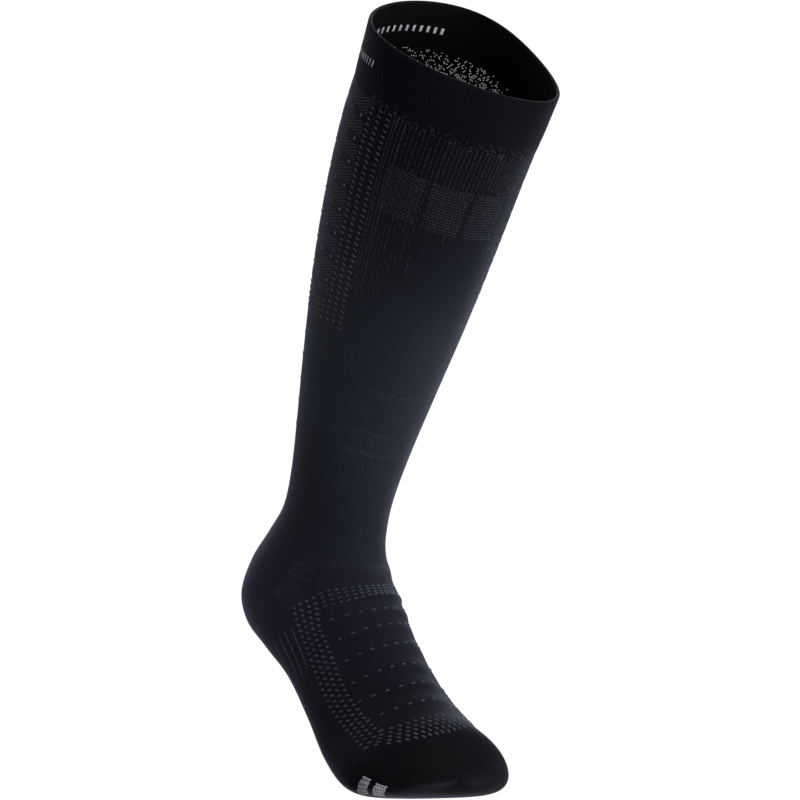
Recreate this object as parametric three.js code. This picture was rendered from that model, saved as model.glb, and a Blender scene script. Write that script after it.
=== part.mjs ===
// A knee-high compression stocking, knitted in one round tube and filled out with nobody in it.
// Units are millimetres. +Z runs up the leg, the toes point along -Y, and the origin is the middle of
// the cuff opening. The solids are the knitted wall itself, so the tube is hollow down to the toes.
import * as THREE from 'three';

// Driving dimensions of the whole stocking
const CUFF_HEIGHT = 395.5;    // the middle of the cuff opening above the sole
const WALL = 1.6;             // thickness of the single knit
const WELT_EXTRA = 0.8;       // the turned cuff is double, and stands out this far from the leg
const SEAM_GAP = 0.3;         // clearance between two neighbouring pieces
const POINTS_OUTSIDE = 48;    // points round the outer face
const POINTS_INSIDE = 24;     // points round the plain inner face
const TIP_BULGE = 2.5;        // the closed toe bulges this far past its last section
const NUDGE = 0.01;           // step for taking slopes on the wall, in rows and in radians

// One row for each section of the tube, from the cuff to the toes. Its front and back points lie in the
// middle plane: "out" is forward of the leg's middle line, and "up" is above the sole. "half" is half
// the width, "lean" moves the widest place from the middle towards the back or the sole, and "bend"
// bows the slack top of the tube to one side.
const SECTIONS = [
  {
    name: 'cuff rim', frontOut: 55.5, frontUp: 384, backOut: -55, backUp: 407,
    half: 56, lean: 0.01, bend: 9,
  },
  {
    name: 'cuff foot', frontOut: 55, frontUp: 359, backOut: -58.5, backUp: 377.5,
    half: 55, lean: 0.06, bend: 5.5,
  },
  {
    name: 'top of the calf', frontOut: 52, frontUp: 325, backOut: -62, backUp: 339,
    half: 54.5, lean: 0.1, bend: 3,
  },
  {
    name: 'calf', frontOut: 49.5, frontUp: 282.5, backOut: -62, backUp: 292,
    half: 52, lean: 0.12, bend: 0.5,
  },
  {
    name: 'under the calf', frontOut: 45.5, frontUp: 235, backOut: -54.5, backUp: 240,
    half: 47.5, lean: 0.14, bend: 0,
  },
  {
    name: 'shank', frontOut: 40.5, frontUp: 186, backOut: -45, backUp: 190,
    half: 41, lean: 0.16, bend: 0,
  },
  {
    name: 'above the ankle', frontOut: 37, frontUp: 146.5, backOut: -36.5, backUp: 150,
    half: 35.5, lean: 0.17, bend: 0,
  },
  {
    name: 'ankle', frontOut: 37.5, frontUp: 117.5, backOut: -31, backUp: 116,
    half: 31.5, lean: 0.17, bend: 0,
  },
  {
    name: 'upper heel', frontOut: 43, frontUp: 100, backOut: -32.5, backUp: 89.5,
    half: 30, lean: 0.13, bend: 0,
  },
  {
    name: 'heel pouch', frontOut: 51, frontUp: 92, backOut: -42, backUp: 65,
    half: 31, lean: 0.13, bend: 0,
  },
  {
    name: 'heel back', frontOut: 58, frontUp: 88.5, backOut: -49.5, backUp: 39.5,
    half: 34.5, lean: 0.15, bend: 0,
  },
  {
    name: 'heel turn', frontOut: 65, frontUp: 86, backOut: -47, backUp: 15,
    half: 36.5, lean: 0.21, bend: 0,
  },
  {
    name: 'heel sole', frontOut: 74.5, frontUp: 83, backOut: -27.5, backUp: 3,
    half: 37, lean: 0.26, bend: 0,
  },
  {
    name: 'front of the heel', frontOut: 85.5, frontUp: 77.5, backOut: 8, backUp: 4,
    half: 37, lean: 0.35, bend: 0,
  },
  {
    name: 'arch', frontOut: 99, frontUp: 70, backOut: 48, backUp: 6,
    half: 37, lean: 0.45, bend: 0,
  },
  {
    name: 'instep', frontOut: 117.5, frontUp: 61, backOut: 91, backUp: 2.5,
    half: 41, lean: 0.52, bend: 0,
  },
  {
    name: 'forefoot', frontOut: 138.5, frontUp: 55, backOut: 129, backUp: -3,
    half: 45.5, lean: 0.55, bend: 0,
  },
  {
    name: 'ball', frontOut: 158.5, frontUp: 52, backOut: 162.5, backUp: 0,
    half: 50, lean: 0.53, bend: 0,
  },
  {
    name: 'toe base', frontOut: 174, frontUp: 52, backOut: 183.5, backUp: 10,
    half: 47.5, lean: 0.48, bend: 0,
  },
  {
    name: 'toes', frontOut: 184.5, frontUp: 47.5, backOut: 194, backUp: 18.5,
    half: 35, lean: 0.42, bend: 0,
  },
  {
    name: 'toe end', frontOut: 192.5, frontUp: 39.5, backOut: 197, backUp: 27,
    half: 22, lean: 0.3, bend: 0,
  },
];

// The knitted pieces, as stretches of the table counted in rows from the cuff rim, with the number of
// steps that their outer and inner faces take along it
const PIECES = [
  { name: 'cuff_welt', from: 0, to: 1.25, outerSteps: 4, innerSteps: 2, extra: WELT_EXTRA },
  { name: 'leg_tube', from: 1.25, to: 7.6, outerSteps: 18, innerSteps: 10, extra: 0 },
  { name: 'heel_pocket', from: 7.6, to: 12.6, outerSteps: 28, innerSteps: 12, extra: 0 },
  { name: 'foot_tube', from: 12.6, to: 17.25, outerSteps: 38, innerSteps: 10, extra: 0 },
  { name: 'toe_cap', from: 17.25, to: 20, outerSteps: 12, innerSteps: 8, extra: 0, closed: true },
];

// The folds across the front of the ankle and the instep: "row" is where on the table the crest lies,
// "height" is how far it stands out, "rows" is half its breadth, and "turn" is half its length in
// degrees round the tube from "middle", where 0 is the front and plus is towards +X.
const FOLDS = [
  { name: 'ankle swell', row: 10.2, height: 1.6, rows: 0.75, turn: 80, middle: -4 },
  { name: 'ankle fold', row: 12.22, height: 1.5, rows: 0.2, turn: 62, middle: 15 },
  { name: 'first instep fold', row: 13.1, height: 1.2, rows: 0.22, turn: 62, middle: 8 },
  { name: 'second instep fold', row: 13.8, height: 0.8, rows: 0.24, turn: 60, middle: 0 },
  { name: 'third instep fold', row: 14.45, height: 0.8, rows: 0.22, turn: 66, middle: 4 },
  { name: 'fourth instep fold', row: 15.1, height: 0.7, rows: 0.2, turn: 58, middle: -3 },
  { name: 'fifth instep fold', row: 15.75, height: 0.5, rows: 0.2, turn: 62, middle: 2 },
  { name: 'sixth instep fold', row: 16.45, height: 0.4, rows: 0.2, turn: 54, middle: 0 },
];

const KNIT_COLOUR = 0x17191d;
const KNIT_ROUGHNESS = 0.85;

// A value of the table between two of its rows, smooth through all of them (a Catmull-Rom curve)
function blendRows(key, place) {
  const last = SECTIONS.length - 1;
  const row = THREE.MathUtils.clamp(Math.floor(place), 0, last - 1);
  const t = place - row;
  const b = SECTIONS[row][key];
  const c = SECTIONS[row + 1][key];
  const a = row > 0 ? SECTIONS[row - 1][key] : 2 * b - c;
  const d = row + 2 <= last ? SECTIONS[row + 2][key] : 2 * c - b;
  const slope = (c - a) * t;
  const bow = (2 * a - 5 * b + 4 * c - d) * t * t;
  const sway = (3 * b - a - 3 * c + d) * t * t * t;
  return (2 * b + slope + bow + sway) / 2;
}

// A point of the smooth tube: "turn" is 0 at the front and grows towards +X
function tubePoint(place, turn) {
  const frontOut = blendRows('frontOut', place);
  const frontUp = blendRows('frontUp', place);
  const backOut = blendRows('backOut', place);
  const backUp = blendRows('backUp', place);
  const side = Math.sin(turn);
  const reach = Math.cos(turn) - blendRows('lean', place) * side * side;
  const out = (frontOut + backOut + (frontOut - backOut) * reach) / 2;
  const up = (frontUp + backUp + (frontUp - backUp) * reach) / 2;
  const across = blendRows('half', place) * side + blendRows('bend', place) * Math.cos(2 * turn);
  return new THREE.Vector3(across, -out, up - CUFF_HEIGHT);
}

// The direction out of the wall, square to both ways that the tube runs
function outward(place, turn) {
  const along = tubePoint(place + NUDGE, turn).sub(tubePoint(place - NUDGE, turn));
  const round = tubePoint(place, turn + NUDGE).sub(tubePoint(place, turn - NUDGE));
  return along.cross(round).normalize();
}

// How far the folds lift the outer face at a place
function foldHeight(place, turn) {
  const degrees = THREE.MathUtils.radToDeg(turn > Math.PI ? turn - 2 * Math.PI : turn);
  let height = 0;
  for (const fold of FOLDS) {
    const along = (place - fold.row) / fold.rows;
    const round = (degrees - fold.middle) / fold.turn;
    if (Math.abs(round) < 1) {
      height += fold.height * Math.cos(round * Math.PI / 2) ** 2 * Math.exp(-along * along);
    }
  }
  return height;
}

// One ring of points: "liftAt" says how far out of the smooth tube each lies, and "shift" moves the
// whole ring along the tube
function ring(place, count, liftAt, shift) {
  const points = [];
  for (let i = 0; i < count; i += 1) {
    const turn = 2 * Math.PI * i / count;
    const point = tubePoint(place, turn);
    const along = tubePoint(place + NUDGE, turn).sub(point).setLength(1);
    point.addScaledVector(outward(place, turn), liftAt(place, turn));
    points.push(point.addScaledVector(along, shift));
  }
  return points;
}

// The rings of one face of a piece, from its upper edge to its lower one, half a seam gap inside both
function faceRings(piece, steps, count, liftAt) {
  const rings = [];
  for (let i = 0; i <= steps; i += 1) {
    const place = piece.from + (piece.to - piece.from) * i / steps;
    let shift = 0;
    if (i === 0 && piece.from > 0) {
      shift = SEAM_GAP / 2;
    } else if (i === steps && !piece.closed) {
      shift = -SEAM_GAP / 2;
    }
    rings.push(ring(place, count, liftAt, shift));
  }
  return rings;
}

// Faces between two rings of point numbers; the first has as many as the second, or twice as many
function stitch(faces, many, few, inverted) {
  const ratio = many.length / few.length;
  for (let i = 0; i < few.length; i += 1) {
    const next = few[(i + 1) % few.length];
    const added = [];
    for (let j = 0; j < ratio; j += 1) {
      const start = i * ratio + j;
      added.push([many[start], few[i], many[(start + 1) % many.length]]);
    }
    added.push([many[((i + 1) * ratio) % many.length], few[i], next]);
    for (const [a, b, c] of added) {
      faces.push(...(inverted ? [a, c, b] : [a, b, c]));
    }
  }
}

// Faces from a ring of point numbers to the one point that closes it
function closeOff(faces, numbers, tip, inverted) {
  for (let i = 0; i < numbers.length; i += 1) {
    const next = numbers[(i + 1) % numbers.length];
    faces.push(...(inverted ? [numbers[i], next, tip] : [numbers[i], tip, next]));
  }
}

// The middle of a ring, moved forward
function tipOf(points, beyond) {
  const middle = new THREE.Vector3();
  for (const point of points) {
    middle.addScaledVector(point, 1 / points.length);
  }
  middle.y -= beyond;
  return middle;
}

// Smaller and smaller rings that round off the closed toe past its last section
function bulgeRings(points, bulge) {
  const middle = tipOf(points, 0);
  return [28, 54, 74].map((degrees) => {
    const angle = THREE.MathUtils.degToRad(degrees);
    return points.map((point) => {
      const spot = middle.clone().lerp(point, Math.cos(angle));
      spot.y -= bulge * Math.sin(angle);
      return spot;
    });
  });
}

// A closed wall: outer face, inner face, and the edges or the tip that join them
function knittedWall(piece) {
  const outerLift = (place, turn) => piece.extra + foldHeight(place, turn);
  const outer = faceRings(piece, piece.outerSteps, POINTS_OUTSIDE, outerLift);
  const inner = faceRings(piece, piece.innerSteps, POINTS_INSIDE, () => -WALL);
  const ends = [outer.at(-1), inner.at(-1)];
  if (piece.closed) {
    outer.push(...bulgeRings(ends[0], TIP_BULGE));
    inner.push(...bulgeRings(ends[1], TIP_BULGE - WALL / 4));
  }
  const corners = [];
  const faces = [];
  const number = (points) => points.map((point) => corners.push(point) - 1);
  const outerNumbers = outer.map(number);
  const innerNumbers = inner.map(number);
  for (let i = 0; i < outer.length - 1; i += 1) {
    stitch(faces, outerNumbers[i], outerNumbers[i + 1], false);
  }
  for (let i = 0; i < inner.length - 1; i += 1) {
    stitch(faces, innerNumbers[i], innerNumbers[i + 1], true);
  }
  stitch(faces, outerNumbers[0], innerNumbers[0], true);
  if (piece.closed) {
    const [outerTip, innerTip] = number([
      tipOf(ends[0], TIP_BULGE),
      tipOf(ends[1], TIP_BULGE - WALL / 4),
    ]);
    closeOff(faces, outerNumbers.at(-1), outerTip, false);
    closeOff(faces, innerNumbers.at(-1), innerTip, true);
  } else {
    stitch(faces, outerNumbers.at(-1), innerNumbers.at(-1), false);
  }
  const geometry = new THREE.BufferGeometry().setFromPoints(corners);
  geometry.setIndex(faces);
  geometry.computeVertexNormals();
  return geometry;
}

const stocking = new THREE.Group();
for (const piece of PIECES) {
  const knit = new THREE.MeshStandardMaterial({
    color: KNIT_COLOUR,
    roughness: KNIT_ROUGHNESS,
    metalness: 0,
  });
  const mesh = new THREE.Mesh(knittedWall(piece), knit);
  mesh.name = piece.name;
  stocking.add(mesh);
}

export default stocking;
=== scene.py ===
import math
import random

import bpy
import numpy as np
from mathutils import Matrix, Vector


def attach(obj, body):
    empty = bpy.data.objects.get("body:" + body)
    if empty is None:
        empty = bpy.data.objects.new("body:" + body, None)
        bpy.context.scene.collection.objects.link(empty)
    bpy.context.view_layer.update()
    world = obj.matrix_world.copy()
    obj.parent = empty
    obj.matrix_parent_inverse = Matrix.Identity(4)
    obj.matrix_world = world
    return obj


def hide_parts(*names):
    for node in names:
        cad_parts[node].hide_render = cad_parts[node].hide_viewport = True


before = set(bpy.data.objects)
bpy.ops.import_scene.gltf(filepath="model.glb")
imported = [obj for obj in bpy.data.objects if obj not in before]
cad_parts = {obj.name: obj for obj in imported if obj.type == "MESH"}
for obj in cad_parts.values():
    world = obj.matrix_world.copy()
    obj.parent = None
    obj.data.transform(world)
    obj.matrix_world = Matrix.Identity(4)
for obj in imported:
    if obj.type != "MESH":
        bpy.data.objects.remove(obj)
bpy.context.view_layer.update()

random.seed(41)


# Camera. The stocking was photographed from in front and to its left, from a little above, with the
# camera leaning over, so that the leg stands aslant in the picture and the toes reach its lower edge.
bearing = math.radians(-33.93)
pitch = math.radians(19.06)
camera_lean = math.radians(16.78)
camera_distance = 1.4476
aim_to_the_right = 0.01845
aim_height = -0.2165
camera_back = Vector((
    math.sin(bearing) * math.cos(pitch),
    -math.cos(bearing) * math.cos(pitch),
    math.sin(pitch),
))
level_right = (-camera_back).cross(Vector((0, 0, 1))).normalized()
level_up = level_right.cross(-camera_back)
camera_right = level_right * math.cos(camera_lean) + level_up * math.sin(camera_lean)
camera_up = level_up * math.cos(camera_lean) - level_right * math.sin(camera_lean)
camera_aim = level_right * aim_to_the_right + Vector((0, 0, aim_height))
camera = bpy.data.objects.new("camera", bpy.data.cameras.new("camera"))
camera.data.sensor_width = 36
camera.data.lens = 108.36
camera.data.clip_end = 20
turned = Matrix((camera_right, camera_up, camera_back)).transposed().to_4x4()
camera.matrix_world = Matrix.Translation(camera_aim + camera_back * camera_distance) @ turned
bpy.context.scene.collection.objects.link(camera)
bpy.context.scene.camera = camera


# Studio. A white sweep all round, as for a catalogue picture: soft light from both sides, more of it
# on the toes' right, and a plain pale floor under the sole.
SWEEP_WHITE = 1.05
LAMP_DISTANCE = 1.5
LAMP_SIZE = 0.9
LAMP_AIM = Vector((0, -0.05, -0.2))
FLOOR_HEIGHT = -0.3995
FLOOR_REACH = 4

bpy.context.scene.view_settings.view_transform = "Standard"
world = bpy.data.worlds.new("white_sweep")
world.use_nodes = True
bpy.context.scene.world = world
nodes = world.node_tree.nodes
links = world.node_tree.links
nodes.clear()
seen = nodes.new("ShaderNodeBackground")
seen.inputs["Color"].default_value = (1, 1, 1, 1)
seen.inputs["Strength"].default_value = SWEEP_WHITE
fill = nodes.new("ShaderNodeBackground")
fill.inputs["Color"].default_value = (0.93, 0.96, 1, 1)
fill.inputs["Strength"].default_value = 0.02
ray = nodes.new("ShaderNodeLightPath")
either = nodes.new("ShaderNodeMixShader")
sky = nodes.new("ShaderNodeOutputWorld")
links.new(ray.outputs["Is Camera Ray"], either.inputs[0])
links.new(fill.outputs[0], either.inputs[1])
links.new(seen.outputs[0], either.inputs[2])
links.new(either.outputs[0], sky.inputs["Surface"])


def softbox(name, bearing, height, power):
    """A soft square lamp aimed at the shin, at a bearing from it and a height, both in degrees."""
    lamp = bpy.data.lights.new(name, "AREA")
    lamp.shape = "SQUARE"
    lamp.size = LAMP_SIZE
    lamp.energy = power
    piece = bpy.data.objects.new(name, lamp)
    bearing = math.radians(bearing)
    height = math.radians(height)
    away = Vector((
        math.sin(bearing) * math.cos(height), -math.cos(bearing) * math.cos(height), math.sin(height)
    ))
    piece.rotation_euler = (-away).to_track_quat("-Z", "Y").to_euler()
    piece.location = LAMP_AIM + away * LAMP_DISTANCE
    bpy.context.scene.collection.objects.link(piece)


softbox("softbox_beside_camera", -60, 15, 3.9)
softbox("softbox_above_camera", -34, 60, 2.1)
softbox("softbox_front", 0, 15, 4.7)
softbox("softbox_front_right", 30, 15, 5.6)
softbox("softbox_right", 60, 15, 6.2)
softbox("softbox_right_above", 60, 60, 4.8)
softbox("softbox_behind_above", 150, 60, 5.0)
softbox("softbox_behind_left", -150, 28, 3.9)

floor_mesh = bpy.data.meshes.new("floor")
floor_corners = [
    (x * FLOOR_REACH, y * FLOOR_REACH, FLOOR_HEIGHT) for x, y in ((-1, -1), (1, -1), (1, 1), (-1, 1))
]
floor_mesh.from_pydata(floor_corners, [], [(0, 1, 2, 3)])
floor = bpy.data.objects.new("floor", floor_mesh)
bpy.context.scene.collection.objects.link(floor)
paper = bpy.data.materials.new("white_paper")
paper.use_nodes = True
nodes = paper.node_tree.nodes
links = paper.node_tree.links
nodes.clear()
bright = nodes.new("ShaderNodeEmission")
bright.inputs["Color"].default_value = (1, 1, 1, 1)
bright.inputs["Strength"].default_value = SWEEP_WHITE
matt = nodes.new("ShaderNodeBsdfDiffuse")
matt.inputs["Color"].default_value = (0.12, 0.12, 0.12, 1)
ray = nodes.new("ShaderNodeLightPath")
either = nodes.new("ShaderNodeMixShader")
sheet = nodes.new("ShaderNodeOutputMaterial")
links.new(ray.outputs["Is Camera Ray"], either.inputs[0])
links.new(matt.outputs[0], either.inputs[1])
links.new(bright.outputs[0], either.inputs[2])
links.new(either.outputs[0], sheet.inputs["Surface"])
floor_mesh.materials.append(paper)


# Cuff welt. The top of the tube is knitted twice as long as it shows, turned over to the inside and
# knitted down, so it is a soft double band with fine upright ribs and a small step at its lower edge.

# The whole stocking is one tube of yarn. Its form is given by sections from the rim to the toes: how
# far out and how high the front and the back of each stand, half its width, how far its sides lag
# behind, and how far they bend to one side, in millimetres from the sole under the ankle.
TUBE = np.array((
    (55.5, 384, -55, 407, 56, 0.01, 9),
    (55, 359, -58.5, 377.5, 55, 0.06, 5.5),
    (52, 325, -62, 339, 54.5, 0.1, 3),
    (49.5, 282.5, -62, 292, 52, 0.12, 0.5),
    (45.5, 235, -54.5, 240, 47.5, 0.14, 0),
    (40.5, 186, -45, 190, 41, 0.16, 0),
    (37, 146.5, -36.5, 150, 35.5, 0.17, 0),
    (37.5, 117.5, -31, 116, 31.5, 0.17, 0),
    (43, 100, -32.5, 89.5, 30, 0.13, 0),
    (51, 92, -42, 65, 31, 0.13, 0),
    (58, 88.5, -49.5, 39.5, 34.5, 0.15, 0),
    (65, 86, -47, 15, 36.5, 0.21, 0),
    (74.5, 83, -27.5, 3, 37, 0.26, 0),
    (85.5, 77.5, 8, 4, 37, 0.35, 0),
    (99, 70, 48, 6, 37, 0.45, 0),
    (117.5, 61, 91, 2.5, 41, 0.52, 0),
    (138.5, 55, 129, -3, 45.5, 0.55, 0),
    (158.5, 52, 162.5, 0, 50, 0.53, 0),
    (174, 52, 183.5, 10, 47.5, 0.48, 0),
    (184.5, 47.5, 194, 18.5, 35, 0.42, 0),
    (192.5, 39.5, 197, 27, 22, 0.3, 0),
))
CUFF_HEIGHT = 395.5

# Where the pieces end, in rows of the table
WELT_FOOT = 1.25
LEG_FOOT = 7.6
HEEL_FOOT = 12.6
FOOT_END = 17.25
TOE_END = 20

# The knit, in millimetres: how far the double band stands out of the tube and in from it, and how
# thick the single knit is
WELT_EXTRA = 0.8
WELT_EDGE = 0.1
WELT_INSIDE = -1.6
KNIT_THICKNESS = 1.3
RIBS_ROUND = 140


def sections_at(place):
    """The seven sizes of the tube at each place, counted in rows of the table, smooth through all."""
    rows = np.vstack((2 * TUBE[0] - TUBE[1], TUBE, 2 * TUBE[-1] - TUBE[-2]))
    place = np.asarray(place, float)
    row = np.clip(np.floor(place).astype(int), 0, len(TUBE) - 2)
    t = (place - row)[..., None]
    a, b, c, d = rows[row], rows[row + 1], rows[row + 2], rows[row + 3]
    bow = (2 * a - 5 * b + 4 * c - d) * t * t
    sway = (3 * b - a - 3 * c + d) * t ** 3
    return (2 * b + (c - a) * t + bow + sway) / 2


def smooth_tube(place, turn):
    """Points of the tube without its folds. turn is in degrees, 0 at the shin, growing towards +X."""
    sizes = sections_at(place)
    front_out, front_up, back_out, back_up, half, lag, bend = np.moveaxis(sizes, -1, 0)
    angle = np.radians(turn)
    side = np.sin(angle)
    reach = np.cos(angle) - lag * side ** 2
    out = (front_out + back_out + (front_out - back_out) * reach) / 2
    up = (front_up + back_up + (front_up - back_up) * reach) / 2
    across = half * side + bend * np.cos(2 * angle)
    return np.stack((across, -out, up - CUFF_HEIGHT), -1)


def unit(vectors):
    return vectors / np.linalg.norm(vectors, axis=-1, keepdims=True)


def tube_frame(place, turn):
    """Unit directions at places on the tube: down its length, round it, and out of it."""
    down = unit(smooth_tube(place + 0.01, turn) - smooth_tube(place - 0.01, turn))
    round_it = unit(smooth_tube(place, turn + 0.5) - smooth_tube(place, turn - 0.5))
    return down, round_it, unit(np.cross(down, round_it))


# The folds where the foot turns forward: the row of the crest, its height, half its breadth in rows,
# half its length in degrees, and the middle of that length
FOLDS = (
    (10.2, 0.7, 0.75, 80, -4),
    (12.22, 1.1, 0.2, 62, 15),
    (13.1, 1.1, 0.22, 62, 8),
    (13.8, 0.8, 0.24, 60, 0),
    (14.45, 0.8, 0.22, 66, 4),
    (15.1, 0.7, 0.2, 58, -3),
    (15.75, 0.5, 0.2, 62, 2),
    (16.45, 0.4, 0.2, 54, 0),
)


def fold_height(place, turn):
    """How far the folds lift the knit, in millimetres."""
    turn = (turn + 180) % 360 - 180
    height = np.zeros(np.broadcast(place, turn).shape)
    for row, rise, rows, half_length, middle in FOLDS:
        round_it = (turn - middle) / half_length
        along = (place - row) / rows
        crest = rise * np.cos(round_it * np.pi / 2) ** 2 * np.exp(-along ** 2)
        height += np.where(np.abs(round_it) < 1, crest, 0)
    return height


def knit_surface(place, turn, lift):
    """Points that stand a lift in millimetres out of the tube and its folds, in metres."""
    out = tube_frame(place, turn)[2]
    full = np.asarray(lift + fold_height(place, turn))[..., None]
    return (smooth_tube(place, turn) + out * full) / 1000


side_places = np.linspace(0, TOE_END, 801)
side_steps = np.diff(smooth_tube(side_places, np.full(len(side_places), -90.0)), axis=0)
SIDE_RUN = np.concatenate(([0], np.cumsum(np.linalg.norm(side_steps, axis=1))))


def run_at(place):
    """How far a place is from the rim down the side of the tube, in millimetres."""
    return np.interp(place, side_places, SIDE_RUN)


def place_at(run):
    """The place that is that far from the rim."""
    return np.interp(run, SIDE_RUN, side_places)


# The closed tip: how far each face bulges past its last ring in metres, and in how many rings it
# closes; then how many rings before it are worn round with it, and how strongly
TIP_OUTSIDE = (0.0024, 28)
TIP_INSIDE = (-0.0015, 8)
WORN_RINGS = 44
WORN_ROUNDS = 260


def tip_rings(ring, turn, beyond, steps):
    """Rings that shrink from the given one towards its middle, and the point that they end in."""
    middle = ring.mean(0)
    power = 2 + 2 * np.sin(np.radians(turn)) ** 2
    rings = []
    for share in np.linspace(0.97, 0.04, steps):
        shrunk = middle + (ring - middle) * share
        shrunk[:, 1] -= beyond * (1 - share ** power)
        rings.append(shrunk)
    middle[1] -= beyond
    return rings, middle


def close_tip(points, last, turn):
    """The rings and the two end points that close both faces past the last outer ring. The outer face
    is worn round where they begin."""
    outside, outer_end = tip_rings(points[last], turn, *TIP_OUTSIDE)
    inside, inner_end = tip_rings(points[last + 1], turn, *TIP_INSIDE)
    start = last - WORN_RINGS
    profile = np.stack(points[start:last + 1] + outside + [np.tile(outer_end, (len(turn), 1))])
    for _ in range(WORN_ROUNDS):
        profile[1:-1] = (profile[:-2] + 2 * profile[1:-1] + profile[2:]) / 4
        profile[-1] = profile[-2].mean(0)
    points[start:last + 1] = list(profile[:WORN_RINGS + 1])
    return list(profile[WORN_RINGS + 1:-1]), inside[::-1], (profile[-1, 0], inner_end)


def knit_wall(name, rings, around, relief, tip=False):
    """A closed wall of knit. rings lists (place, lift, is it the outer face) down the outside and up
    the inside; relief(place, turn) adds to the outer face. A wall with a tip is closed at the toes."""
    turn = np.linspace(-180, 180, around + 1)[:-1]
    points = []
    runs = []
    outer = []
    for place, lift, is_outer in rings:
        at = np.full(around, float(place))
        extra = relief(at, turn) if is_outer else np.zeros(around)
        points.append(knit_surface(at, turn, lift + extra))
        runs.append(run_at(place) / 1000)
        outer.append(is_outer)
    if tip:
        last = max(i for i in range(len(rings)) if outer[i])
        outside, inside, ends = close_tip(points, last, turn)
        points[last + 1:last + 1] = outside + inside
        runs[last + 1:last + 1] = [runs[last]] * (len(outside) + len(inside))
        outer[last + 1:last + 1] = [True] * len(outside) + [False] * len(inside)
        last += len(outside)
    count = len(points)
    strips = [(i, (i + 1) % count) for i in range(count) if not (tip and i == last)]
    j = np.arange(around)
    k = (j + 1) % around
    faces = []
    spots = []
    hidden = []
    for upper, lower in strips:
        corners = (upper * around + j, lower * around + j, lower * around + k, upper * around + k)
        faces += np.stack(corners, 1).tolist()
        top = np.full(around, runs[upper])
        foot = np.full(around, runs[lower])
        left = j / around
        right = (j + 1) / around
        spots.append(np.stack((left, top, left, foot, right, foot, right, top), 1).reshape(-1, 2))
        hidden += [int(not outer[upper] and not outer[lower])] * around
    corners = np.concatenate(points)
    if tip:
        end = len(corners)
        corners = np.concatenate((corners, ends))
        faces += [[last * around + a, end, last * around + b] for a, b in zip(j, k)]
        faces += [[(last + 1) * around + b, end + 1, (last + 1) * around + a] for a, b in zip(j, k)]
        spots.append(np.tile(((0, runs[last]), (0.5, runs[last]), (1, runs[last])), (2 * around, 1)))
        hidden += [0] * around + [1] * around
    mesh = bpy.data.meshes.new(name)
    mesh.from_pydata(corners.tolist(), [], faces)
    mesh.uv_layers.new(name="knit").data.foreach_set("uv", np.concatenate(spots).ravel())
    mesh.polygons.foreach_set("material_index", hidden)
    mesh.shade_smooth()
    mesh.set_sharp_from_angle(angle=math.radians(50))
    piece = bpy.data.objects.new(name, mesh)
    bpy.context.scene.collection.objects.link(piece)
    return piece


def new_group(name, inputs, outputs):
    """A shader node group with float or vector sockets."""
    group = bpy.data.node_groups.new(name, "ShaderNodeTree")
    for title, kind, value in inputs:
        socket = group.interface.new_socket(title, in_out="INPUT", socket_type=kind)
        if value is not None:
            socket.default_value = value
    for title, kind in outputs:
        group.interface.new_socket(title, in_out="OUTPUT", socket_type=kind)
    return group, group.nodes.new("NodeGroupInput"), group.nodes.new("NodeGroupOutput")


def maths(tree, operation, first, second=None, third=None):
    """A Math node; each term is a number or a socket. Returns its result socket."""
    node = tree.nodes.new("ShaderNodeMath")
    node.operation = operation
    for slot, term in enumerate((first, second, third)):
        if term is None:
            continue
        if isinstance(term, (int, float)):
            node.inputs[slot].default_value = term
        else:
            tree.links.new(term, node.inputs[slot])
    return node.outputs[0]


# Knit loops: upright columns of small V stitches, counted round the tube and per metre of length
knit_loops, given, result = new_group(
    "Knit loops",
    (("Place", "NodeSocketVector", None), ("Columns", "NodeSocketFloat", 280),
     ("Courses", "NodeSocketFloat", 1100)),
    (("Height", "NodeSocketFloat"),),
)
parts = knit_loops.nodes.new("ShaderNodeSeparateXYZ")
knit_loops.links.new(given.outputs["Place"], parts.inputs[0])
column = maths(knit_loops, "MULTIPLY", parts.outputs[0], given.outputs["Columns"])
column = maths(knit_loops, "FRACT", column)
column = maths(knit_loops, "SUBTRACT", column, 0.5)
column = maths(knit_loops, "ABSOLUTE", column)
course = maths(knit_loops, "MULTIPLY", parts.outputs[1], given.outputs["Courses"])
course = maths(knit_loops, "MULTIPLY_ADD", column, 0.9, course)
course = maths(knit_loops, "MULTIPLY", course, 2 * math.pi)
course = maths(knit_loops, "COSINE", course)
ridge = maths(knit_loops, "MULTIPLY", column, 2)
ridge = maths(knit_loops, "POWER", ridge, 2)
ridge = maths(knit_loops, "SUBTRACT", 1, ridge)
knit = maths(knit_loops, "MULTIPLY_ADD", course, 0.3, ridge)
knit_loops.links.new(knit, result.inputs["Height"])

# Rib lines: round-backed upright ribs that waver a little, as the yarn's tension does
rib_lines, given, result = new_group(
    "Rib lines",
    (("Place", "NodeSocketVector", None), ("Ribs", "NodeSocketFloat", RIBS_ROUND),
     ("Waver", "NodeSocketFloat", 0.3)),
    (("Height", "NodeSocketFloat"),),
)
parts = rib_lines.nodes.new("ShaderNodeSeparateXYZ")
rib_lines.links.new(given.outputs["Place"], parts.inputs[0])
stretched = rib_lines.nodes.new("ShaderNodeMapping")
stretched.inputs["Scale"].default_value = (60, 90, 1)
rib_lines.links.new(given.outputs["Place"], stretched.inputs["Vector"])
wander = rib_lines.nodes.new("ShaderNodeTexNoise")
wander.inputs["Scale"].default_value = 1
wander.inputs["Detail"].default_value = 2
rib_lines.links.new(stretched.outputs[0], wander.inputs["Vector"])
shift = maths(rib_lines, "SUBTRACT", wander.outputs[0], 0.5)
shift = maths(rib_lines, "MULTIPLY", shift, given.outputs["Waver"])
rib = maths(rib_lines, "MULTIPLY_ADD", parts.outputs[0], given.outputs["Ribs"], shift)
rib = maths(rib_lines, "MULTIPLY", rib, 2 * math.pi)
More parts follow.
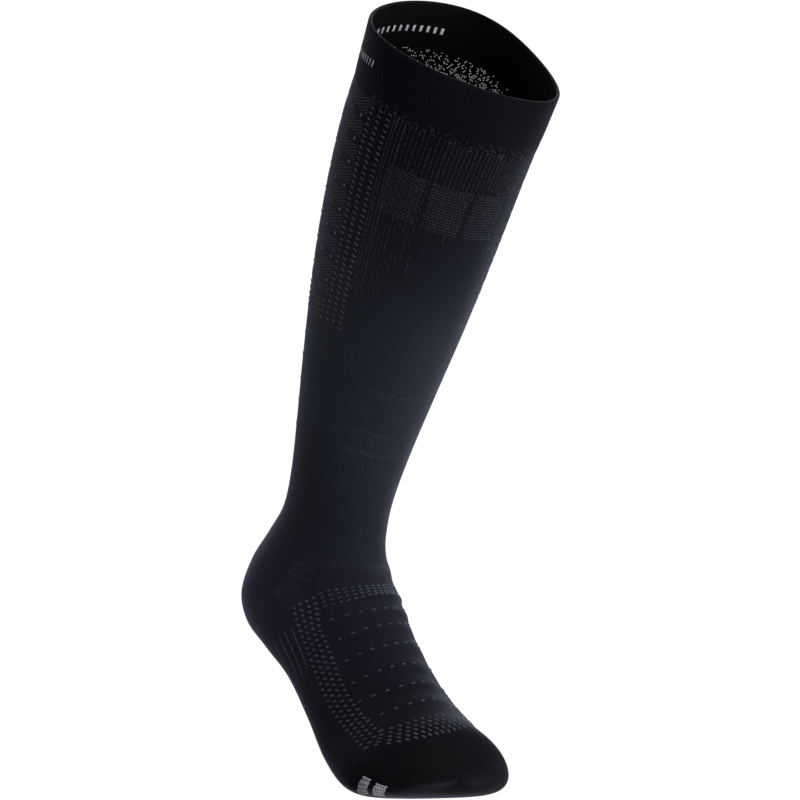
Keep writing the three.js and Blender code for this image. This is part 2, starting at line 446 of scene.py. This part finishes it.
rib = maths(rib_lines, "COSINE", rib)
rib_lines.links.new(rib, result.inputs["Height"])

# Yarn mottle: the small unevenness of tone in dyed yarn, as a factor round 1
yarn_mottle, given, result = new_group(
    "Yarn mottle",
    (("Scale", "NodeSocketFloat", 900), ("Amount", "NodeSocketFloat", 0.3)),
    (("Tone", "NodeSocketFloat"),),
)
where = yarn_mottle.nodes.new("ShaderNodeTexCoord")
specks = yarn_mottle.nodes.new("ShaderNodeTexNoise")
specks.inputs["Detail"].default_value = 3
yarn_mottle.links.new(where.outputs["Object"], specks.inputs["Vector"])
yarn_mottle.links.new(given.outputs["Scale"], specks.inputs["Scale"])
clouds = yarn_mottle.nodes.new("ShaderNodeTexNoise")
clouds.inputs["Scale"].default_value = 28
yarn_mottle.links.new(where.outputs["Object"], clouds.inputs["Vector"])
both = maths(yarn_mottle, "MULTIPLY_ADD", clouds.outputs[0], 0.5, specks.outputs[0])
both = maths(yarn_mottle, "SUBTRACT", both, 0.75)
tone = maths(yarn_mottle, "MULTIPLY_ADD", both, given.outputs["Amount"], 1)
yarn_mottle.links.new(tone, result.inputs["Tone"])

# Tone and painted shade: the black's tone changes slowly down the tube. It is darkest at the welt,
# palest in the lower leg, and dark again from the instep to the toe, where the darkening is painted
# shade.
# Place in rows of the table, then red, green and blue
TONES_AND_SHADE = (
    (0, 0.0029, 0.0035, 0.0062),
    (1.2, 0.0033, 0.0039, 0.0068),
    (2, 0.0054, 0.0062, 0.0102),
    (3.1, 0.0112, 0.013, 0.0205),
    (4.2, 0.0255, 0.0305, 0.043),
    (5.6, 0.0265, 0.032, 0.0455),
    (7.5, 0.0172, 0.0195, 0.0295),
    (10, 0.0172, 0.0186, 0.0315),
    (13, 0.015, 0.016, 0.029),
    (14.3, 0.011, 0.0118, 0.022),
    (15.6, 0.0052, 0.0058, 0.0115),
    (17.2, 0.0022, 0.0025, 0.0048),
    (20, 0.0018, 0.0021, 0.0037),
)
TONE_LENGTH = 0.6
tone_and_shade, given, result = new_group(
    "Tone and painted shade",
    (("Place", "NodeSocketVector", None),),
    (("Colour", "NodeSocketColor"),),
)
parts = tone_and_shade.nodes.new("ShaderNodeSeparateXYZ")
tone_and_shade.links.new(given.outputs["Place"], parts.inputs[0])
share = maths(tone_and_shade, "DIVIDE", parts.outputs[1], TONE_LENGTH)
ramp = tone_and_shade.nodes.new("ShaderNodeValToRGB")
tone_and_shade.links.new(share, ramp.inputs["Fac"])
stops = ramp.color_ramp.elements
while len(stops) < len(TONES_AND_SHADE):
    stops.new(0.5)
for stop, (place, red, green, blue) in zip(stops, TONES_AND_SHADE):
    stop.position = run_at(place) / 1000 / TONE_LENGTH
    stop.color = (red, green, blue, 1)
tone_and_shade.links.new(ramp.outputs["Color"], result.inputs["Colour"])


def knit_material(name, colour=None, ribs=0.0, sheen=0.88):
    """Black knit: a matt yarn with a faint sheen at its edges, over ribs and small loops. Without a
    colour of its own it takes the tone down the tube, including its painted shade towards the toe."""
    material = bpy.data.materials.new(name)
    material.use_nodes = True
    tree = material.node_tree
    yarn = tree.nodes["Principled BSDF"]
    yarn.inputs["Roughness"].default_value = 0.85
    yarn.inputs["Specular IOR Level"].default_value = 0.12
    yarn.inputs["Sheen Weight"].default_value = sheen
    yarn.inputs["Sheen Roughness"].default_value = 0.3
    yarn.inputs["Sheen Tint"].default_value = (0.72, 0.76, 1, 1)
    place = tree.nodes.new("ShaderNodeTexCoord")
    tones = tree.nodes.new("ShaderNodeGroup")
    tones.node_tree = yarn_mottle
    tones.inputs["Amount"].default_value = 0.8
    paint = tree.nodes.new("ShaderNodeMix")
    paint.data_type = "RGBA"
    paint.blend_type = "MULTIPLY"
    paint.inputs["Factor"].default_value = 1
    if colour:
        paint.inputs["A"].default_value = (*colour, 1)
    else:
        # The tone down the tube, with its painted shade towards the toe
        shaded_tone = tree.nodes.new("ShaderNodeGroup")
        shaded_tone.node_tree = tone_and_shade
        tree.links.new(place.outputs["UV"], shaded_tone.inputs["Place"])
        tree.links.new(shaded_tone.outputs["Colour"], paint.inputs["A"])
    tree.links.new(tones.outputs["Tone"], paint.inputs["B"])
    tree.links.new(paint.outputs["Result"], yarn.inputs["Base Color"])
    stitches = tree.nodes.new("ShaderNodeGroup")
    stitches.node_tree = knit_loops
    tree.links.new(place.outputs["UV"], stitches.inputs["Place"])
    height = maths(tree, "MULTIPLY", stitches.outputs["Height"], 0.3)
    if ribs:
        upright = tree.nodes.new("ShaderNodeGroup")
        upright.node_tree = rib_lines
        tree.links.new(place.outputs["UV"], upright.inputs["Place"])
        height = maths(tree, "MULTIPLY_ADD", upright.outputs["Height"], ribs, height)
    bump = tree.nodes.new("ShaderNodeBump")
    bump.inputs["Strength"].default_value = 0.6
    bump.inputs["Distance"].default_value = 0.0004
    tree.links.new(height, bump.inputs["Height"])
    tree.links.new(bump.outputs["Normal"], yarn.inputs["Normal"])
    return material


welt_knit = knit_material("welt_knit", ribs=0.3, sheen=0.4)
# The inside of the tube: a near-black reverse, painted shade for the inside that the lamps barely reach
reverse_knit_shade = knit_material("reverse_knit_shade", (0.0007, 0.0007, 0.0009), sheen=0.0)

# The rolled rim and the step at the band's foot, in rows of the table
RIM = 0.08
STEP_LENGTH = 0.4


def welt_ribs(place, turn):
    """Upright ribs in the knit of the band, which die out at its two edges."""
    depth = 0.02 * np.clip(place / RIM, 0, 1) * np.clip((WELT_FOOT - place) / RIM, 0, 1)
    return depth * np.cos(np.radians(turn) * RIBS_ROUND)


welt_rings = []
for place in np.linspace(RIM, WELT_FOOT, 34):
    taper = min((WELT_FOOT - place) / STEP_LENGTH, 1)
    welt_rings.append((place, WELT_EDGE + (WELT_EXTRA - WELT_EDGE) * taper * (2 - taper), True))
welt_rings += [(p, WELT_INSIDE, False) for p in np.linspace(WELT_FOOT, RIM, 8)]
# The rolled rim: half a circle over the edge, from the reverse to the outside
for step in range(1, 8):
    angle = math.pi * (1 - step / 8)
    welt_rings.append((0.045 - 0.045 * math.sin(angle), -0.4 + 1.2 * math.cos(angle), step > 1))
welt = knit_wall("cuff_band", welt_rings, RIBS_ROUND * 6, welt_ribs)
welt.data.materials.append(welt_knit)
welt.data.materials.append(reverse_knit_shade)
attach(welt, "root")
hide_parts("cuff_welt")


def stitch_pads(name, marks, material, sides=8):
    """Raised stitches as one mesh. marks lists (place, turn, length, width, height, heading, lift) in
    rows, degrees and millimetres; heading 0 lies round the tube and 90 down its length. A height below
    0 stands inwards, on the reverse of the knit."""
    place, turn, length, width, height, heading, lift = np.array(marks, float).T
    centre = knit_surface(place, turn, lift) * 1000
    down, round_it, out = tube_frame(place, turn)
    angle = np.radians(heading)[:, None]
    along = round_it * np.cos(angle) + down * np.sin(angle)
    face = np.sign(height)[:, None]
    across = np.cross(out, along) * face
    around = np.linspace(0, 2 * math.pi, sides + 1)[:-1] + (math.pi / 4 if sides == 4 else 0)
    # Rings of a pad: share of its size, depth under the knit in millimetres and share of its height
    if sides > 4:
        levels = ((1, -0.1, 0), (0.8, 0, 0.62), (0.42, 0, 0.94))
    else:
        levels = ((1.2, -0.1, 0), (0.75, 0, 1))
    points = []
    for share, base, rise in levels:
        for a in around:
            spot = centre + along * (length / 2 * share * math.cos(a))[:, None]
            spot += across * (width / 2 * share * math.sin(a))[:, None]
            points.append(spot + out * (base * face + (height * rise)[:, None]))
    if sides > 4:
        points.append(centre + out * height[:, None])
    per = len(points)
    corners = np.stack(points, 1).reshape(-1, 3) / 1000
    pattern = []
    for low in range(0, (len(levels) - 1) * sides, sides):
        for i in range(sides):
            n = (i + 1) % sides
            pattern.append((low + i, low + n, low + sides + n, low + sides + i))
    top = (len(levels) - 1) * sides
    if sides > 4:
        pattern += [(top + i, top + (i + 1) % sides, per - 1) for i in range(sides)]
    else:
        pattern.append(tuple(range(top, top + sides)))
    pattern.append(tuple(range(sides - 1, -1, -1)))
    faces = [[start + i for i in face] for start in range(0, len(corners), per) for face in pattern]
    mesh = bpy.data.meshes.new(name)
    mesh.from_pydata(corners.tolist(), [], faces)
    mesh.shade_smooth()
    mesh.materials.append(material)
    piece = bpy.data.objects.new(name, mesh)
    bpy.context.scene.collection.objects.link(piece)
    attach(piece, "root")
    return piece


def yarn_material(name, colour, glow=0.0):
    """Plain yarn of a raised stitch, uneven in tone from stitch to stitch. A glow is painted light, for
    light let through from behind."""
    material = bpy.data.materials.new(name)
    material.use_nodes = True
    tree = material.node_tree
    yarn = tree.nodes["Principled BSDF"]
    yarn.inputs["Roughness"].default_value = 0.75
    yarn.inputs["Specular IOR Level"].default_value = 0.15
    yarn.inputs["Sheen Weight"].default_value = 0.35
    yarn.inputs["Sheen Roughness"].default_value = 0.4
    yarn.inputs["Sheen Tint"].default_value = (0.85, 0.88, 1, 1)
    yarn.inputs["Emission Color"].default_value = (0.9, 0.94, 1, 1)
    yarn.inputs["Emission Strength"].default_value = glow
    tones = tree.nodes.new("ShaderNodeGroup")
    tones.node_tree = yarn_mottle
    tones.inputs["Scale"].default_value = 500
    tones.inputs["Amount"].default_value = 1.5
    paint = tree.nodes.new("ShaderNodeMix")
    paint.data_type = "RGBA"
    paint.blend_type = "MULTIPLY"
    paint.inputs["Factor"].default_value = 1
    paint.inputs["A"].default_value = (*colour, 1)
    tree.links.new(tones.outputs["Tone"], paint.inputs["B"])
    tree.links.new(paint.outputs["Result"], yarn.inputs["Base Color"])
    return material


grey_yarn = yarn_material("grey_yarn", (0.068, 0.075, 0.094))
faint_yarn = yarn_material("faint_yarn", (0.046, 0.051, 0.065))
frame_yarn = yarn_material("frame_yarn", (0.1, 0.108, 0.13))
light_yarn = yarn_material("light_yarn", (0.15, 0.16, 0.19))
pale_yarn = yarn_material("pale_yarn", (0.62, 0.64, 0.7))
# Pale glowing pads: painted light for the daylight through the holes of the mesh
painted_glint_yarn = yarn_material("painted_glint_yarn", (0.3, 0.32, 0.38), glow=0.5)

# Cuff bars. A row of plain pale bars is knitted into the back of the band, and the floats of the same
# yarn show on its reverse. The first bar and the step to the next one are in degrees.
BAR_START = -84.5
BAR_STEP = 3.1
REVERSE_BAR_START = -133
REVERSE_BAR_STEP = 5.3
bars = []
for number in range(21):
    turn = BAR_START - BAR_STEP * number
    place = 0.655 + 0.014 * min(number, 5)
    bars.append((place, turn, 1.5, 6.4, 0.12, 8, WELT_EXTRA))
cuff_bars = stitch_pads("cuff_bars", bars, pale_yarn, sides=4)

reverse_bars = []
for number in range(11):
    turn = REVERSE_BAR_START - REVERSE_BAR_STEP * number
    reverse_bars.append((0.6, turn, 2.8, 5.6, -0.15, 0, WELT_INSIDE))
reverse_bars = stitch_pads("cuff_bars_reverse", reverse_bars, pale_yarn, sides=4)

# Mesh glints. Under the band the reverse shows the open mesh of the calf, with the daylight coming
# through it, painted as pale pads that glow: painted light. The stretch of mesh that shows is in
# degrees.
MESH_START = 98
MESH_END = 220
glints = []
for row in range(17):
    place = 1.01 + 0.027 * row
    lift = WELT_INSIDE if place < WELT_FOOT else -KNIT_THICKNESS
    for stitch in range(74):
        turn = MESH_START + 1.65 * (stitch + (row % 2) / 2)
        ends = min((turn - MESH_START) / 24, (MESH_END - turn) / 20, 1)
        if random.random() < ends * (0.16 + 0.03 * row):
            glints.append((place, turn, 0.9, 0.48, -0.12, 0, lift))
mesh_glints = stitch_pads("mesh_glints", glints, painted_glint_yarn, sides=4)


# Leg. One tube knitted straight on from the welt, smooth and close, with fine upright ribs over the
# shin that fade out half way down. It narrows to the ankle by tighter stitches alone.
leg_knit = knit_material("leg_knit")


def shin_ribs(place, turn):
    """Fine ribs over the shin, deepest under the welt."""
    lower_end = 2.7 + np.abs(turn) / 50
    over = np.clip((lower_end - place) / 0.8, 0, 1) * np.clip((66 - np.abs(turn)) / 8, 0, 1)
    return 0.05 * over * np.cos(np.radians(turn) * RIBS_ROUND)


def plain(place, turn):
    """No ribs."""
    return np.zeros(np.shape(place))


def wall_rings(first, last, outer_steps, inner_steps):
    """Rings of a plain wall, down its outer face and up its inner one."""
    down = [(p, 0, True) for p in np.linspace(first, last, outer_steps)]
    return down + [(p, -KNIT_THICKNESS, False) for p in np.linspace(last, first, inner_steps)]


def dress(piece, knit, node):
    """Materials of one stretch of the tube; it hangs from the root, and its part of model.glb is
    hidden.
    """
    piece.data.materials.append(knit)
    piece.data.materials.append(reverse_knit_shade)
    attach(piece, "root")
    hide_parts(node)


leg = knit_wall("leg_knit", wall_rings(WELT_FOOT, LEG_FOOT, 120, 24), RIBS_ROUND * 4, shin_ribs)
dress(leg, leg_knit, "leg_tube")

# Calf panel. Patterned knit round the calf: level rows of dots between bands of slanting lines of
# tiny dashes, framed by three columns of short floats on each side and four rows across the foot.
# The floats' steps, stagger, length, width and height are in millimetres.
PANEL_FOOT = 4.31
FLOAT_STEP = 3.6
FLOAT_STAGGER = 1.2
FLOAT_SIZE = (3.5, 0.8, 0.35)
frame_floats = []
for column, edge in enumerate((64, 70, 76)):
    for row in range(40):
        place = place_at(run_at(1.32) + FLOAT_STEP * row + FLOAT_STAGGER * column)
        if place > PANEL_FOOT:
            continue
        for side in (-1, 1):
            frame_floats.append((place, side * edge, *FLOAT_SIZE, side * -14, 0))
for row in range(4):
    for column in range(3, 20):
        place = place_at(run_at(PANEL_FOOT) - FLOAT_STEP * row + FLOAT_STAGGER * (column % 3))
        for side in (-1, 1):
            frame_floats.append((place, side * (64 + 6 * column), *FLOAT_SIZE, side * -14, 0))
calf_frame = stitch_pads("calf_panel_frame", frame_floats, frame_yarn)

DOT_STEP = 14.75
DOT_ROWS = [place_at(run_at(1.62) + DOT_STEP * row) for row in range(8)]
dots = []
for place in DOT_ROWS:
    for column in range(9):
        for side in (-1, 1):
            # The last column lies at the middle of the back, and is there once
            if side < 0 or column < 8:
                dots.append((place, side * (83 + 12 * column), 1.7, 2.2, 0.4, 0, 0))
calf_dots = stitch_pads("calf_panel_dots", dots, light_yarn)

# The slanting lines: their margin from the dots and the step between them, in millimetres, and how far
# they fall with each degree towards the back
BAND_MARGIN = 2.8
LINE_STEP = 1.9
LINE_FALL = 0.47
dashes = []
for band in range(-1, 9):
    dot_run = run_at(DOT_ROWS[0]) + DOT_STEP * band
    band_start = dot_run + BAND_MARGIN
    band_end = dot_run + DOT_STEP - BAND_MARGIN
    for line in range(-4, 32):
        for stitch in range(70):
            turn = 79.5 + 1.75 * stitch
            run = band_end - LINE_STEP * line + LINE_FALL * (turn - 80)
            if turn > 180 or not band_start <= run <= band_end:
                continue
            place = float(place_at(run))
            if not 1.27 < place < 4.02:
                continue
            for side in (-1, 1):
                dashes.append((place, side * turn, 1.5, 0.9, 0.2, side * 24, 0))
calf_dashes = stitch_pads("calf_panel_lines", dashes, grey_yarn, sides=4)

# Shin lines. Under the welt the rib stitches stand out as thin broken lines, thinner and fewer lower
# down. Four closer lines run down beside each side frame of the calf panel. A row of the table is here
# about ROW_LENGTH millimetres long.
ROW_LENGTH = 46
lines = []
for rib in range(-23, 24):
    turn = rib * 360 / RIBS_ROUND
    end = 3.75 - 0.055 * max(0, 47 - abs(turn)) ** 0.85 + random.uniform(-0.5, 0.1)
    width = 0.55 if rib % 3 == 0 else 0.38
    place = WELT_FOOT + random.uniform(0, 0.1)
    while place < end:
        length = random.uniform(3, 9)
        if random.random() < 0.95 - 0.25 * (place > 2.7):
            lines.append((place + length / 2 / ROW_LENGTH, turn, length, width, 0.18, 90, 0))
        place += length / ROW_LENGTH + random.uniform(0, 0.03)
for side in (-1, 1):
    for turn in (54.5, 56.6, 59, 60.8):
        for step in range(34):
            lines.append((1.3 + step * 0.074, side * turn, 3.3, 0.5, 0.18, 90, 0))
shin_lines = stitch_pads("shin_lines", lines, faint_yarn, sides=4)

# Shin blocks. Five plain blocks of close hatching, in the same faint yarn as the shin lines, stand in a
# row across the shin, nearly from one calf frame to the other.
hatch = []
for left, right in ((-56, -35), (-30, -9), (-4, 17), (22, 43), (48, 58)):
    for row in range(17):
        turn = left + (row % 2) * 0.95
        while turn < right:
            hatch.append((2.03 + 0.039 * row, turn, 1.55, 0.75, 0.22, 12, 0))
            turn += 1.9
shin_blocks = stitch_pads("shin_blocks", hatch, faint_yarn, sides=4)

# Cross ticks. Stray tucks lie where the ribs leave the welt, four dotted lines cross the shin above the
# ankle, and five thin ones the back over the tendon.
ticks = []
for number in range(320):
    turn = random.uniform(-80, 80)
    ticks.append((random.uniform(1.12, 1.34), turn, 0.95, 0.45, 0.2, random.uniform(60, 120), 0.3))
for place in (4.86, 5.155, 5.465, 5.81):
    for step in range(-20, 12):
        for row in (0, 0.035):
            if random.random() < 0.85:
                ticks.append((place + row, step * 1.9, 1.3, 0.6, 0.2, 0, 0))
for place in (4.71, 4.99, 5.33, 5.67, 6.07):
    for step in range(88, 273, 3):
        ticks.append((place, step, 2, 0.6, 0.2, 0, 0))
cross_ticks = stitch_pads("cross_ticks", ticks, faint_yarn, sides=4)


# Heel. A pouch turned in the same tube for the heel to sit in, of the same knit, with a small open
# diamond of mesh on each side of the ankle and three dotted lines running back from it.
LOOPS_ROUND = 480
heel_knit = knit_material("heel_knit", sheen=0.84)
heel = knit_wall("heel_pouch", wall_rings(LEG_FOOT, HEEL_FOOT, 130, 20), LOOPS_ROUND, plain)
dress(heel, heel_knit, "heel_pocket")

# The mesh's outline and its node, in rows of the table and degrees
MESH_OUTLINE = (
    (9.83, 66), (10.04, 48), (11.13, 48), (11.95, 55),
    (12.23, 66), (11.97, 75), (11.32, 72), (10.57, 67),
)
NODE_PLACE = 11.32
NODE_TURN = 72
MESH_FRONT = 46
specks = []
for row in range(36):
    for stitch in range(20):
        turn = MESH_FRONT + 1.5 * stitch + 0.75 * (row % 2)
        place = 9.2 + 0.085 * row + 0.021 * (turn - MESH_FRONT)
        crossings = 0
        for (p, t), (q, u) in zip(MESH_OUTLINE, MESH_OUTLINE[1:] + MESH_OUTLINE[:1]):
            if (t > turn) != (u > turn) and place < p + (q - p) * (turn - t) / (u - t):
                crossings += 1
        if crossings % 2 and random.random() < 0.1 + 0.05 * (turn - MESH_FRONT):
            for side in (-1, 1):
                specks.append((place, side * turn, 0.8, 0.55, 0.18, 0, 0))
for place, turn in ((10.65, 84), (11.34, 90), (11.81, 88)):
    for stitch in range(9):
        share = stitch / 8
        for side in (-1, 1):
            at = NODE_PLACE + (place - NODE_PLACE) * share
            specks.append((at, side * (NODE_TURN + (turn - NODE_TURN) * share), 0.7, 0.6, 0.15, 0, 0))
for number in range(24):
    for side in (-1, 1):
        turn = NODE_TURN + 0.5 + random.gauss(0, 1.5)
        specks.append((NODE_PLACE + random.gauss(0, 0.11), side * turn, 0.9, 0.7, 0.25, 0, 0))
heel_mesh = stitch_pads("heel_mesh", specks, grey_yarn, sides=4)


# Foot. The same tube, with creases across the instep, a framed panel of dots on top of it, and fine
# ribs lengthwise under the arch.
foot_knit = knit_material("foot_knit", sheen=0.7)
foot = knit_wall("foot_knit", wall_rings(HEEL_FOOT, FOOT_END, 150, 18), LOOPS_ROUND, plain)
dress(foot, foot_knit, "foot_tube")

# Instep panel. Its side frames are four columns of short floats, its top frame four rows and its lower
# frame five rows set like bricks; inside are six rows of ten forked dots. The lower end lies a little
# to the left, as the foot is shaped. Columns are given as (place, turn) and rows as (turn, place), the
# lowest two by their turn from the panel's middle.
OUTER_COLUMN = (
    (12.2, 64), (12.8, 66), (13.4, 68), (14.2, 70), (14.7, 69), (15.35, 67), (15.7, 64), (16, 62),
    (16.4, 59), (16.85, 58), (17.13, 57),
)
INNER_COLUMN = (
    (11.93, 50), (12.4, 50), (13.3, 54), (14.2, 54), (14.8, 53), (15.4, 51), (15.85, 48), (16.4, 45),
    (16.98, 42),
)
TOP_ROW = (
    (-55, 12.02), (-46, 11.8), (-40, 11.67), (-19, 11.61),
    (2, 11.55), (10, 11.42), (30, 11.55), (46, 11.8),
)
FOURTH_ROW = (
    (-52, 12.5), (-45, 12.45), (-32, 12.37), (-25, 12.33),
    (-15, 12.22), (-2, 12.16), (20, 12.22), (46, 12.5),
)
LOWEST_ROW = (
    (0, 18.37), (11, 18.34), (20, 18.16), (26, 18),
    (31, 17.84), (35, 17.58), (39, 17.28), (44, 17.13),
)
FIFTH_ROW = ((0, 17.34), (13, 17.31), (20, 17.2), (28, 16.97), (36, 16.62), (44, 16.23))
PANEL_SKEW = -13


def along_knots(knots, at):
    """The second value of a column or row at a first value along it."""
    first, second = np.array(knots).T
    return float(np.interp(at, first, second))


def panel_centre(place):
    """The turn of the middle of the instep panel."""
    return float(np.interp(place, (14.5, 17.2), (0, PANEL_SKEW)))


floats = []
for column in range(4):
    share = column / 3
    first = run_at(12.2 - 0.27 * share)
    last = run_at(17.13 - 0.15 * share)
    for row in range(28):
        place = float(place_at(first + (last - first) * row / 27))
        outer = along_knots(OUTER_COLUMN, place)
        turn = outer + (along_knots(INNER_COLUMN, place) - outer) * share
        floats.append((place, -turn, 3.1, 1.45, 0.4, 28, 0))
        floats.append((place, 2 * panel_centre(place) + turn, 3.1, 1.45, 0.4, -28, 0))
for column in range(18):
    turn = -44.5 + 5.2 * column
    top = along_knots(TOP_ROW, turn)
    foot_of_it = along_knots(FOURTH_ROW, turn)
    for row in range(4):
        floats.append((top + (foot_of_it - top) * row / 3, turn, 3, 1.3, 0.4, -12, 0))
for row in range(5):
    for stitch in range(-8, 9):
        offset = 5.4 * (stitch + (row % 2) / 2)
        if abs(offset) > 44 - 4 * row:
            continue
        low_place = along_knots(LOWEST_ROW, abs(offset))
        high_place = along_knots(FIFTH_ROW, abs(offset))
        place = low_place + (high_place - low_place) * row / 4
        floats.append((place, PANEL_SKEW + offset, 2.9, 1.25, 0.4, 62, 0))
instep_frame = stitch_pads("instep_frame", floats, grey_yarn)

# Each row of dots: its place at the middle, and how far back its left and its right end lie
forks = []
for middle, left_back, right_back in (
    (13.03, -0.05, 0.13), (13.74, -0.12, 0.16), (14.46, -0.06, 0.17),
    (15.16, 0, 0.21), (15.84, 0.13, 0.24), (16.54, 0.17, 0.26),
):
    for column in range(10):
        turn = -44.1 + 10 * column
        beside = min(abs(turn + 14) / 31, 1.1) ** 2
        place = middle - (left_back if turn < -14 else right_back) * beside
        forks.append((place, turn - 0.7, 1.6, 1.1, 0.45, -40, 0))
        forks.append((place, turn + 0.7, 1.6, 1.1, 0.45, 40, 0))
instep_dots = stitch_pads("instep_dots", forks, grey_yarn)

# Arch ribs. Four fine lines on each side, from the heel towards the ball of the foot.
arch = []
for top_place, top_turn, low_place, low_turn in (
    (12.94, 72, 14.17, 76), (13.01, 79, 14.25, 84), (13.1, 86, 14.29, 92), (13.19, 96, 14.29, 104),
):
    for stitch in range(18):
        share = stitch / 17
        place = top_place + (low_place - top_place) * share
        turn = top_turn + (low_turn - top_turn) * share
        for side in (-1, 1):
            arch.append((place, side * turn, 2.4, 0.85, 0.3, side * 8 + 90, 0))
arch_ribs = stitch_pads("arch_ribs", arch, grey_yarn, sides=4)


# Toe. The closed end of the tube, closed by one linked seam over the toes; its dark tone is painted
# shade.
toe_knit = knit_material("toe_knit", sheen=0.42)
toe = knit_wall("toe_cap_knit", wall_rings(FOOT_END, TOE_END, 90, 14), LOOPS_ROUND, plain, tip=True)
dress(toe, toe_knit, "toe_cap")

# Toe blocks. Two plain pale blocks are printed low on the toe, and the stitches break them up into
# specks. Each is given by its four corners.
SPECK_ROWS = 13
SPECK_COLUMNS = 9
specks = []
for corners in (
    ((17.83, -83), (18.16, -87), (17.84, -119), (17.46, -118)),
    ((18.33, -92), (18.68, -100), (18.23, -128), (17.96, -122)),
):
    top_left, top_right, low_right, low_left = (np.array(corner) for corner in corners)
    for row in range(SPECK_ROWS):
        for column in range(SPECK_COLUMNS):
            across = (column + 0.5) / SPECK_COLUMNS
            upper = top_left + (top_right - top_left) * across
            lower = low_left + (low_right - low_left) * across
            place, turn = upper + (lower - upper) * (row + 0.5) / SPECK_ROWS
            if row % 3 != 1 or (column + row // 3) % 2:
                specks.append((place, turn, 0.95, 0.8, 0.15, 0, 0))
toe_blocks = stitch_pads("toe_blocks", specks, pale_yarn, sides=4)
